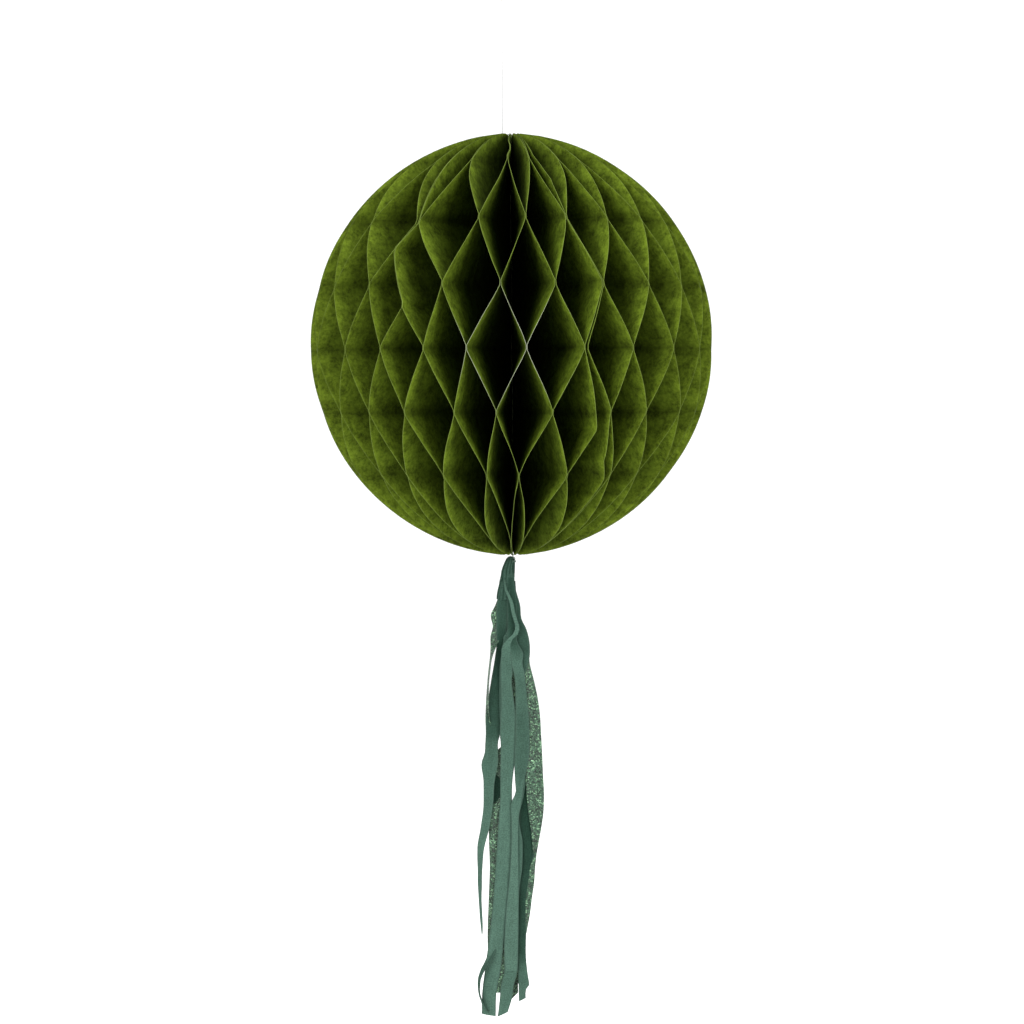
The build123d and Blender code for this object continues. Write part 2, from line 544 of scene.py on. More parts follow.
@dataclass(frozen=True)
class GlitterFinish:
    """Film set with small glitter flakes, each with its own tone and tilt, and a painted glint on a share
    of them.
    """

    name: str
    dark: tuple[float, float, float]
    mid: tuple[float, float, float]
    painted_glint: tuple[float, float, float]
    flakes: float

    def make(self) -> bpy.types.Material:
        """Builds the material: flakes from a cell pattern, with tone and relief from the cells.

        Returns:
            The material.
        """
        n, material, shader = principled(self.name)
        place = n.add("ShaderNodeUVMap", uv_map="sheet").outputs[0]
        cell = n.add("ShaderNodeTexVoronoi", feature="F1")
        n.link(place, cell.inputs["Vector"])
        cell.inputs["Scale"].default_value = self.flakes
        parts = n.add("ShaderNodeSeparateColor")
        n.link(cell.outputs["Color"], parts.inputs[0])
        tone = n.mix(n.span(parts.outputs[0], 0.1, 0.75), (*self.dark, 1.0), (*self.mid, 1.0))
        # Painted glint: a share of the flakes takes the bright glint colour, whatever light falls on it.
        tone = n.mix(n.span(parts.outputs[1], 0.78, 0.95), tone, (*self.painted_glint, 1.0))
        patch = n.span(n.noise(place, 130.0, 2.0), 0.3, 0.7, 0.7, 1.15)
        tone = n.mix(1.0, tone, patch, "MULTIPLY")
        n.link(tone, shader.inputs["Base Color"])
        n.link(n.span(parts.outputs[2], 0.0, 1.0, 0.25, 0.6), shader.inputs["Roughness"])
        n.link(n.span(parts.outputs[1], 0.55, 0.9, 0.1, 0.65), shader.inputs["Metallic"])
        fall = n.math("MULTIPLY", cell.outputs["Distance"], -1.0)
        bump(n, shader, n.math("ADD", parts.outputs[0], fall), 0.6, 0.0004)
        return material


@dataclass(frozen=True)
class ThreadFinish:
    """Twisted cotton thread."""

    name: str
    light: tuple[float, float, float]
    dark: tuple[float, float, float]
    pitch: float = 1500.0

    def make(self) -> bpy.types.Material:
        """Builds the material from slanted plies, with painted shade in the grooves between them, and a
        little fluff.

        Returns:
            The material.
        """
        n, material, shader = principled(self.name)
        place = n.add("ShaderNodeTexCoord").outputs["Object"]
        ply = n.add("ShaderNodeGroup", node_tree=PLY)
        n.link(place, ply.inputs["Vector"])
        ply.inputs["Pitch"].default_value = self.pitch
        # Painted shade: the light colour on the ply crests and the dark colour in the grooves between them,
        # where shade falls.
        colour = n.mix(ply.outputs["Mask"], (*self.dark, 1.0), (*self.light, 1.0))
        fluff = n.span(n.noise(place, 2500.0), 0.3, 0.7, 0.88, 1.05)
        n.link(n.mix(1.0, colour, fluff, "MULTIPLY"), shader.inputs["Base Color"])
        n.link(n.span(ply.outputs["Mask"], 0.0, 1.0, 0.9, 0.7), shader.inputs["Roughness"])
        shader.inputs["Sheen Weight"].default_value = 0.2
        bump(n, shader, ply.outputs["Height"], 0.4, 0.0001)
        return material


@dataclass(frozen=True)
class CoreFinish:
    """Bound inner edges of the leaves, hardened with glue: upright paper edges with painted shade between
    them, and glossier blots.
    """

    name: str
    light: tuple[float, float, float]
    dark: tuple[float, float, float]

    def make(self) -> bpy.types.Material:
        """Builds the material from fine upright lines, with painted shade in the low ground between them,
        and blots of glue.

        Returns:
            The material.
        """
        n, material, shader = principled(self.name)
        place = n.add("ShaderNodeTexCoord").outputs["Object"]
        lines = n.noise(n.stretch(place, (1.0, 1.0, 0.05)), 2600.0, 2.0)
        # Painted shade: the light colour on the raised upright lines, the dark colour in the low ground
        # between them.
        colour = n.mix(n.span(lines, 0.35, 0.65), (*self.dark, 1.0), (*self.light, 1.0))
        n.link(colour, shader.inputs["Base Color"])
        n.link(n.span(n.noise(place, 220.0), 0.35, 0.65, 0.45, 0.85), shader.inputs["Roughness"])
        bump(n, shader, lines, 0.4, 0.0002)
        return material


@dataclass(frozen=True)
class TapeFinish:
    """Thin satin tape with small trapped bubbles."""

    name: str
    colour: tuple[float, float, float]

    def make(self) -> bpy.types.Material:
        """Builds the material from bubbles and a faint cloud.

        Returns:
            The material.
        """
        n, material, shader = principled(self.name)
        place = n.add("ShaderNodeTexCoord").outputs["Object"]
        bubble = n.span(n.noise(place, 1400.0, 2.0), 0.55, 0.7)
        tint = n.span(n.noise(place, 180.0), 0.3, 0.7, 0.88, 1.0)
        n.link(n.mix(1.0, (*self.colour, 1.0), tint, "MULTIPLY"), shader.inputs["Base Color"])
        n.link(n.span(bubble, 0.0, 1.0, 0.35, 0.6), shader.inputs["Roughness"])
        bump(n, shader, bubble, 0.25, 0.0001)
        return material


# ---------------------------------------------------------------- ball


@dataclass
class HoneycombBall:
    """The ring of half-disc tissue leaves, glued to each other along level rows.

    Row 0 is the glue row nearest the ball's middle. A joint plane is the space between two leaves, and its
    glued joints are on every second row. set_joints tells, for a row, its first plane and the drift in
    degrees of every second plane from there. loose_knots tells, for a leaf, the height, azimuth and side of
    the places that it passes between the rows or away from them.
    """

    radius: float = 100.0
    half_height: float = 105.0
    leaf_count: int = 49
    pitch: float = 7.5
    seam_azimuth: float = 19.2
    inner_radius: float = 2.5
    seam_inner_radius: float = 3.4
    core_half_height: float = 102.6
    rim_lift: float = 1.7
    row_pitch: float = 29.9
    middle_row: float = -2.8
    outer_row: int = 4
    land: float = 1.2
    bow: float = 0.06
    face_half: float = 0.06
    rim_half: float = 0.085
    pole_spread: float = 0.25
    seam_gap: float = 0.32
    seam_gape: dict[int, float] = field(default_factory=lambda: {0: 1.5, 2: 0.5, -2: 0.7})
    joint_inner: float = 0.13
    joint_rim: float = 0.21
    flat_size: tuple[float, float] = (0.1, 0.21)
    flat_area: float = 0.0158
    drift: float = 1.6
    lift_start: float = 88.5
    full_room: float = 42.0
    level_count: int = 81
    least_step: float = 0.35
    pole_run: float = 6.0
    even_gape: float = 0.6
    ripple: float = 0.24
    ripple_length: float = 60.0
    ripple_reach: float = 70.0
    fold_keep: float = 0.004
    row_lift: dict[int, float] = field(default_factory=lambda: {3: 1.7, 2: 1.3, -3: -3.2})
    set_joints: dict[int, tuple[int, tuple[float, ...]]] = field(
        default_factory=lambda: {
            3: (-9, (6.0, 0.3, -2.2, 1.6, -2.2, -1.6, -3.5)),
            2: (-10, (2.4, 0.0, -4.4, 0.3, 0.5, -1.3, -1.2, -0.6)),
            1: (-11, (1.8, 4.5, 2.3, -1.0, 0.3, 0.4, -0.5, 0.1, 0.4)),
            0: (-10, (3.7, 3.0, 1.7, -1.2, -0.3, 0.4, 0.2, 0.7, 0.6)),
            -1: (-11, (3.2, 3.0, 1.4, 1.9, -1.1, -0.3, 2.3, 0.0)),
            -2: (-10, (3.4, 1.9, 1.8, 2.1, -2.0, -0.4, 1.5)),
            -3: (-5, (3.3, 1.9, -4.4)),
        }
    )
    loose_knots: dict[int, dict[float, tuple[float, float, float]]] = field(
        default_factory=lambda: {
            40: {2: (56.6, -32.0, -1.0)},
            41: {2: (57.0, -31.4, 1.0), 1.5: (43.5, -36.8, -1.0), 1: (17.5, -31.0, -1.0)},
            42: {2: (56.6, -30.9, -1.0), 1.5: (43.5, -36.8, 1.0), 1: (17.5, -31.0, 1.0)},
            43: {2: (56.6, -30.9, 1.0)},
            45: {3.2: (93.5, -0.4, -1.0), 3.5: (98.5, -2.0, -1.0)},
            46: {3.2: (93.5, -0.4, 1.0), 3.5: (98.5, -2.0, 1.0)},
            49: {
                3: (75.3, 16.4, 1.0),
                3.5: (91.0, 11.9, 1.0),
                4: (116.8, 9.5, 1.0),
                -1: (-40.5, 25.3, -1.0),
            },
            1: {-1.7: (-54.5, 30.6, 1.0), -2: (-65.6, 33.6, 1.0)},
        }
    )

    def row_height(self, row: int) -> float:
        """Height of a glue row over the ball's centre."""
        return self.middle_row + row * self.row_pitch + self.row_lift.get(row, 0.0)

    def joint_azimuth(self, row: int, plane: int) -> float:
        """Azimuth of a glued joint: the even fan plus this joint's own drift.

        Args:
            row: glue row, 0 at the middle.
            plane: joint plane, 0 beside the seam.

        Returns:
            Degrees, rising with plane.
        """
        seed_base, seed_step = 1000, 97
        ring = self.leaf_count - 1
        near = (plane + ring // 2) % ring - ring // 2
        first, known = self.set_joints.get(row, (0, ()))
        place = (near - first) // 2
        rng = np.random.default_rng(seed_base + seed_step * (row + self.outer_row + 1) + near % ring)
        own = float(rng.uniform(-self.drift, self.drift))
        if 0 <= place < len(known) and (near - first) % 2 == 0:
            own = known[place]
        return self.seam_azimuth + plane * self.pitch + own

    def knots(self, number: int) -> np.ndarray:
        """Where a leaf is held: height, azimuth and the side of the joint it lies on.

        Args:
            number: leaf number, from 1 beside the seam.

        Returns:
            (n, 4) rows from the lowest to the highest. The last column is how far the first and last leaf
            stand apart at the rim, where they share a joint.
        """
        rows: dict[float, tuple[float, float, float, float]] = {}
        ring = self.leaf_count - 1
        for row in range(-self.outer_row, self.outer_row + 1):
            below = (number + row) % 2 == 0
            plane = number if below else number - 1
            azimuth = self.joint_azimuth(row, plane)
            if abs(row) == self.outer_row:
                last = row - int(math.copysign(1, row))
                held = self.joint_azimuth(last, number if (number + last) % 2 == 0 else number - 1)
                azimuth = held + self.pole_spread * (azimuth - held)
            gape = 0.0
            if number == 1 and not below:
                gape = self.seam_gape.get(row, self.even_gape)
            if number == self.leaf_count and below:
                gape = -self.seam_gape.get(row, self.even_gape)
            rows[row] = (self.row_height(row), azimuth, -1.0 if below else 1.0, gape)
        for row, (height, azimuth, side) in self.loose_knots.get(number, {}).items():
            turn = 360.0 if number > ring // 2 else 0.0
            rows[row] = (height, azimuth + turn, side, 0.0)
        return np.array([rows[row] for row in sorted(rows)])

    def track(self, number: int) -> tuple[np.ndarray, np.ndarray, np.ndarray]:
        """A leaf's levels from foot to top, with its azimuth and side at each.

        Between two knots the paper swings over along a line that is part straight and part smooth step, and
        it keeps its azimuth for a short land at each knot.

        Args:
            number: leaf number.

        Returns:
            Levels, then azimuths in degrees, sides and gapes as columns, then distances to a glue row.
        """
        knots = self.knots(number)
        heights = knots[:, 0]
        top = self.core_half_height
        lands = np.concatenate((heights - self.land, heights + self.land))
        pole = np.linspace(top - self.pole_run, top, 5)
        levels = np.concatenate((np.linspace(-top, top, self.level_count), lands, pole, -pole))
        levels = np.unique(np.round(levels, 3))
        levels = levels[(levels >= -top) & (levels <= top)]
        levels = levels[np.concatenate(([True], np.diff(levels) > self.least_step))]
        levels[-1] = top
        k = np.clip(np.searchsorted(heights, levels, side="right") - 1, 0, len(heights) - 2)
        free = heights[k + 1] - heights[k] - 2.0 * self.land
        t = np.clip((levels - heights[k] - self.land) / free, 0.0, 1.0)
        t = (1.0 - self.bow) * t + self.bow * smooth(t)
        held = knots[k, 1:] * (1.0 - t)[:, None] + knots[k + 1, 1:] * t[:, None]
        rows = np.array([self.row_height(row) for row in range(1 - self.outer_row, self.outer_row)])
        gap = np.abs(levels[:, None] - rows).min(1)
        return levels, held, gap

    def leaf(self, number: int) -> bpy.types.Object:
        """One leaf: straight lines out from the core at every level, turned to the level's azimuth.

        The place at distance r out on a level is r along the level's direction, plus the joint's small
        offset and the paper's own wrinkles across it. The outer end lies on the rim's arc. Near the poles a
        level rises outwards by the lift times the share of the way out to the power of two fifths.

        Args:
            number: leaf number.

        Returns:
            The leaf's object.
        """
        levels, held, gap = self.track(number)
        azimuth, side, gape = held.T
        start = self.seam_inner_radius if number in (1, self.leaf_count) else self.inner_radius
        arc = (self.radius**2 + self.half_height**2) / (2.0 * self.radius)
        rise = smooth((np.abs(levels) - self.lift_start) / (self.core_half_height - self.lift_start))
        lift = rise * self.rim_lift * np.sign(levels)
        reach = np.sqrt(arc**2 - (levels + lift) ** 2) - (arc - self.radius)
        room = (reach - start)[:, None]
        near = np.array([0.0, 0.03, 0.4, 0.9, 1.8, 3.4, 6.0, 9.5, 14.0, 20.0])
        back = near * np.minimum(1.0, room / self.full_room)
        share = np.linspace(0.0, 1.0, 12)[:-1]
        inner = start + share * (room - back[:, -1:])
        out = np.concatenate((inner, reach[:, None] - back[:, ::-1]), 1)
        share_out = (out - start) / room
        height = levels[:, None] + lift[:, None] * np.clip(share_out, 0.0, 1.0) ** 0.4
        inset = reach[:, None] - out
        angle = np.radians(azimuth)[:, None]
        joint = self.joint_inner + (self.joint_rim - self.joint_inner) * smooth(out / self.radius)
        sheet = np.stack(np.broadcast_arrays(out, height), -1)
        free = smooth((gap - self.land) / 6.0)[:, None]
        ripple = waves(sheet, number, self.ripple_length, 4) * self.ripple
        ripple = ripple * smooth(out / self.ripple_reach) * free
        apart = np.clip(np.abs(gape) / 0.5, 0.0, 1.0) * np.sign(gape) * self.seam_gap
        fan = (gape - apart)[:, None] * out / self.radius
        shift = side[:, None] * joint + ripple + apart[:, None] + fan
        along = np.stack(np.broadcast_arrays(np.sin(angle), -np.cos(angle), 0.0 * angle), -1)
        across = np.stack(np.broadcast_arrays(np.cos(angle), np.sin(angle), 0.0 * angle), -1)
        middle = out[..., None] * along + shift[..., None] * across
        middle[..., 0] += BALL_AXIS_X
        middle[..., 2] = height - BALL_DROP
        across = np.broadcast_to(across, middle.shape)
        swell = 1.3
        half = self.face_half + (self.rim_half - self.face_half) * smooth(1.0 - inset / swell)
        uv = sheet * MM + np.array([number * 0.37, number * 0.19])
        # A narrow glue line, and a broader painted shade round the joint.
        joint_shade = 0.45 * (1.0 - smooth((gap - 1.0) / 5.0))
        line = 0.55 * (1.0 - smooth((gap - 0.5) / 1.0))
        band = np.broadcast_to((joint_shade + line)[:, None], out.shape)
        values = {
            # Painted light near the rim, falling to painted shade deep inside the cell.
            "painted_light": 0.1 + 0.9 * np.exp(-inset / 12.0),
            # Where the cut edge's painted light and shade go: the end face, with a faint fade onto both
            # faces.
            "cut_edge": np.where(inset < 0.01, 1.0, 0.1 * (1.0 - smooth(inset / 0.9))),
            "glue_and_shade_band": band,
        }
        return thin_sheet(f"leaf_{number:02d}_tissue", middle, across, half, uv, values)

    def make(self, finish: bpy.types.Material) -> None:
        """Builds every leaf, and gives it its body, its own copy of its mesh and its finish.

        Args:
            finish: the tissue's material.
        """
        for number in range(1, self.leaf_count + 1):
            piece = self.leaf(number)
            node = f"leaf_{number:02d}"
            middle_leaf = (self.leaf_count + 1) // 2
            body = "core" if number == middle_leaf else node
            piece.data.materials.append(finish)
            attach(piece, body)
            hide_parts(node)
            self.fold(piece)
        log.info("ball: %d leaves", self.leaf_count)

    def tapes(
        self, finish: bpy.types.Material, start: float = 60.0, length: float = 12.0, height: float = 1.8
    ) -> None:
        """Lays the seam's three tapes on the last leaf: flat patches along its level lines at three rows.

        A patch's outline at angle t is (cos t, sin t) with each part to the power of a quarter, sign kept,
        which is a rectangle with small round corners.

        Args:
            finish: the tape's material.
            start: distance of a tape from the ball's axis.
            length: its length outwards.
            height: its width.
        """
        count, faces = 24, (0.27, 0.33)
        t = np.linspace(0.0, 2.0 * math.pi, count, endpoint=False)
        circle = np.stack((np.cos(t), np.sin(t)), -1)
        outline = np.abs(circle) ** 0.25 * np.sign(circle)
        corner = np.arange(count)
        after = (corner + 1) % count
        rim = np.stack((corner, after, after + count, corner + count), -1)
        half = np.arange(1, count // 2)
        lid = np.stack((half - 1, half, count - 1 - half, count - half), -1)
        points, quads = [], []
        for row in (-2, 0, 2):
            angle = math.radians(self.joint_azimuth(row, self.leaf_count - 1))
            along = np.array((math.sin(angle), -math.cos(angle), 0.0))
            across = np.array((math.cos(angle), math.sin(angle), 0.0))
            out = start + length / 2.0 + outline[:, :1] * length / 2.0
            rise = np.stack((0.0 * t, 0.0 * t, outline[:, 1] * height / 2.0 + self.row_height(row)), -1)
            base = len(points) * count
            for side in faces:
                points.append(out * along + side * across + rise + np.array((BALL_AXIS_X, 0.0, -BALL_DROP)))
            quads.append(np.vstack((rim, lid, lid[:, ::-1] + count)) + base)
        places = np.vstack(points)
        piece = put_mesh("seam_tape_patches", places, np.vstack(quads), places[:, ::2] * MM, {})
        piece.data.materials.append(finish)
        node = f"leaf_{self.leaf_count}"
        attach(piece, node)
        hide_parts("seam_tapes")
        self.fold(piece)
        log.info("seam: three tapes")

    def fold(self, piece: bpy.types.Object) -> None:
        """Gives a piece its own copy of its mesh.

        Args:
            piece: the leaf or what lies on it.
        """
        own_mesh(piece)


# ---------------------------------------------------------------- thread


@dataclass
class HangingThread:
    """The taut thread from the ball's knot up to the loop."""

    radius: float = 0.25
    foot: float = -86.2476
    top: float = -11.0

    def make(self, finish: bpy.types.Material) -> None:
        """Builds the thread as a smooth line through its two ends and its middle.

        Args:
            finish: the thread's material.
        """
        line = bpy.data.curves.new("thread", "CURVE")
        line.dimensions = "3D"
        line.bevel_depth = self.radius * MM
        line.bevel_resolution = 3
        line.use_fill_caps = True
        spline = line.splines.new("NURBS")
        spline.points.add(2)
        for point, z in zip(spline.points, np.linspace(self.foot, self.top, 3)):
            point.co = (0.0, 0.0, z * MM, 1.0)
        spline.order_u = 3
        spline.use_endpoint_u = True
        piece = bpy.data.objects.new("thread", line)
        bpy.context.scene.collection.objects.link(piece)
        line.materials.append(finish)
        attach(piece, "hanger")
        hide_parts("hanging_thread")
        log.info("thread: %.1f mm", self.top - self.foot)


# ---------------------------------------------------------------- tassel


@dataclass
class Strip:
    """One hanging strip of the tassel, told by its two edges.

    Each station is: drop below the ball's centre, left edge, right edge, depth of the left edge and depth
    of the right edge, the last four from the ball's axis, with depth positive towards the front. A strip's
    glow table tells, by drop, how much light reaches it.
    """

    name: str
    paper: Paper
    cut: tuple[float, float]
    stations: tuple[tuple[float, float, float, float, float], ...]
    curl: float = 0.5
    slant: float = 0.0
    glow: tuple[tuple[float, float], ...] = ((110.0, 0.6),)
    lean: float = -0.0052
    lean_start: float = 84.0
    stretch: float = 1.009
    half_thickness: float = 0.06

    def make(self, seed: int) -> bpy.types.Object:
        """Builds the strip: straight lines between its two smooth edges, bowed across and rippled along.

        The bow is a parabola over the width, and the ripple is the sum of short waves and one long sine.
        Both fade where the strip is narrow. The foot is cut on a slant over its last stretch.

        Args:
            seed: picks the ripples.

        Returns:
            The strip's object.
        """
        stations = np.array(self.stations)
        rows, columns = 90, 9
        drops = np.linspace(stations[0, 0], stations[-1, 0], rows)
        left, right, near_left, near_right = through(stations, drops).T
        t = np.linspace(0.0, 1.0, columns)[None, :]
        x = left[:, None] * (1.0 - t) + right[:, None] * t + self.lean * (drops[:, None] - self.lean_start)
        y = -(near_left[:, None] * (1.0 - t) + near_right[:, None] * t)
        drop = np.broadcast_to(drops[:, None], x.shape)
        end_run = 12.0
        end = smooth((drop - (drops[-1] - end_run)) / end_run)
        z = -drop - self.slant * (t - 0.5) * end - (self.stretch - 1.0) * (drop - stations[0, 0])
        width = np.hypot(right - left, near_right - near_left)[:, None]
        place = np.stack((t * width, drop), -1)
        ripple = waves(place, seed, 34.0) * 0.22 + np.sin(drop / 17.0 + seed) * 0.25
        bow = self.curl * (1.0 - (2.0 * t - 1.0) ** 2) * np.minimum(1.0, width / 5.0)
        least_width = 0.2
        nx = -(near_right - near_left)[:, None] / np.maximum(width, least_width)
        ny = (right - left)[:, None] / np.maximum(width, least_width)
        shift = (bow + ripple * np.minimum(1.0, width / 4.0))[..., None]
        across = np.stack((-nx + 0.0 * x, -ny + 0.0 * x, 0.0 * x), -1)
        middle = np.stack((x + BALL_AXIS_X, y, z - BALL_DROP), -1) + across * shift
        half = np.full(x.shape, self.half_thickness)
        rim = np.minimum(t, 1.0 - t) * width
        # Painted light: the glow table's light by drop, and a brighter band along each edge.
        light = np.interp(drop, *np.array(self.glow).T) + 0.2 * np.exp(-rim / 0.8)
        values = {
            "painted_light": np.clip(light, 0.0, 1.0),
            "cut_edge": 0.75 * (1.0 - smooth(rim / 0.3)),
        }
        uv = place * MM + np.array([seed * 0.31, seed * 0.17])
        return thin_sheet(self.name, middle, across, half, uv, values)


@dataclass
class Tassel:
    """The gathered neck and the strips that hang from it.

    Each neck station is: drop below the ball's centre, middle from the ball's axis, and radius.
    """

    strips: tuple[Strip, ...] = ()
    neck: tuple[tuple[float, float, float], ...] = (
        (105.6, -1.2, 1.0),
        (106.4, -1.3, 1.8),
        (107.6, -1.5, 2.4),
        (109.4, -2.0, 2.8),
        (112.0, -2.5, 3.2),
        (115.5, -2.6, 3.4),
        (118.4, -3.2, 3.4),
        (122.5, -3.5, 4.0),
        (127.0, -3.4, 4.6),
    )
    pleats: int = 11
    depth_share: float = 0.78
    top_rise: float = 0.3
    crease: float = 70.0

    def neck_bundle(self) -> bpy.types.Object:
        """The gathered neck: a ring of pleats carried down the bundle's own line.

        The radius at angle a is the station's radius times the sum of a base, a sharp ripple of the pleats
        that twists with the drop, and two slow lumps. From front to back the ring is flattened.

        Returns:
            The neck's object.
        """
        rows, columns = 46, 132
        stations = np.array(self.neck)
        drops = np.linspace(stations[0, 0], stations[-1, 0], rows)
        centre, radius = through(stations, drops).T
        a = np.linspace(0.0, 2.0 * math.pi, columns, endpoint=False)[None, :]
        d = drops[:, None]
        pleat = np.abs(np.sin(a * self.pleats / 2.0 + 0.06 * d)) ** 0.6
        lump = 0.07 * np.sin(3.0 * a + 0.3 * d) + 0.04 * np.sin(5.0 * a - 0.5 * d)
        r = radius[:, None] * (0.84 + 0.2 * pleat + lump)
        x = centre[:, None] + r * np.cos(a) + BALL_AXIS_X
        y = self.depth_share * r * np.sin(a)
        z = np.broadcast_to(-d - BALL_DROP, x.shape)
        ring = np.stack((x, y, z), -1).reshape(-1, 3)
        ends = np.array(
            [
                [centre[0] + BALL_AXIS_X, 0.0, -drops[0] - BALL_DROP + self.top_rise],
                [centre[-1] + BALL_AXIS_X, 0.0, -drops[-1] - BALL_DROP],
            ]
        )
        i, j = np.meshgrid(np.arange(rows - 1), np.arange(columns), indexing="ij")
        k = (j + 1) % columns
        upper, lower = i * columns, (i + 1) * columns
        sides = np.stack((upper + j, lower + j, lower + k, upper + k), -1)
        top = len(ring)
        pair = np.arange(0, columns, 2)
        foot = (rows - 1) * columns
        after = (pair + 2) % columns
        lid = np.stack((np.full_like(pair, top), pair, pair + 1, after), -1)
        floor = np.stack((np.full_like(pair, top + 1), foot + after, foot + pair + 1, foot + pair), -1)
        lids = np.vstack((lid, floor))
        points = np.vstack((ring, ends))
        grid = np.stack((r * a, d + 0.0 * a), -1).reshape(-1, 2)
        uv = np.vstack((grid, [[0.0, 0.0], [0.0, 0.0]])) * MM
        # Painted light and shade on the neck: lighter on the pleat crests, darker in the grooves and on the
        # neck's left and right sides.
        dark = smooth(np.abs(np.cos(a)) * 2.4 - 1.3) * 0.25
        glow = np.append((0.1 + 0.42 * pleat - dark + 0.0 * d).ravel(), [0.1, 0.1])
        values = {"painted_light": glow, "cut_edge": np.zeros(len(points))}
        quads = np.vstack((sides.reshape(-1, 4), lids))
        return put_mesh("neck_bundle", points, quads, uv, values, self.crease)

    def make(self, tissue: bpy.types.Material, glitter: bpy.types.Material) -> None:
        """Builds the neck and every strip, and lets them swing with the tassel.

        Args:
            tissue: material of the neck and the plain strips.
            glitter: material of the glittered strips.
        """
        first_seed, sheet_width = 11, 0.01
        neck = self.neck_bundle()
        neck.data.materials.append(tissue)
        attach(neck, "tassel")
        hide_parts("tassel_neck")
        for seed, strip in enumerate(self.strips, first_seed):
            piece = strip.make(seed)
            plain = strip.paper is Paper.TISSUE
            piece.data.materials.append(tissue if plain else glitter)
            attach(piece, "tassel")
            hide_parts("tissue_strips" if plain else "glitter_strips")
        log.info("tassel: neck and %d strips", len(self.strips))
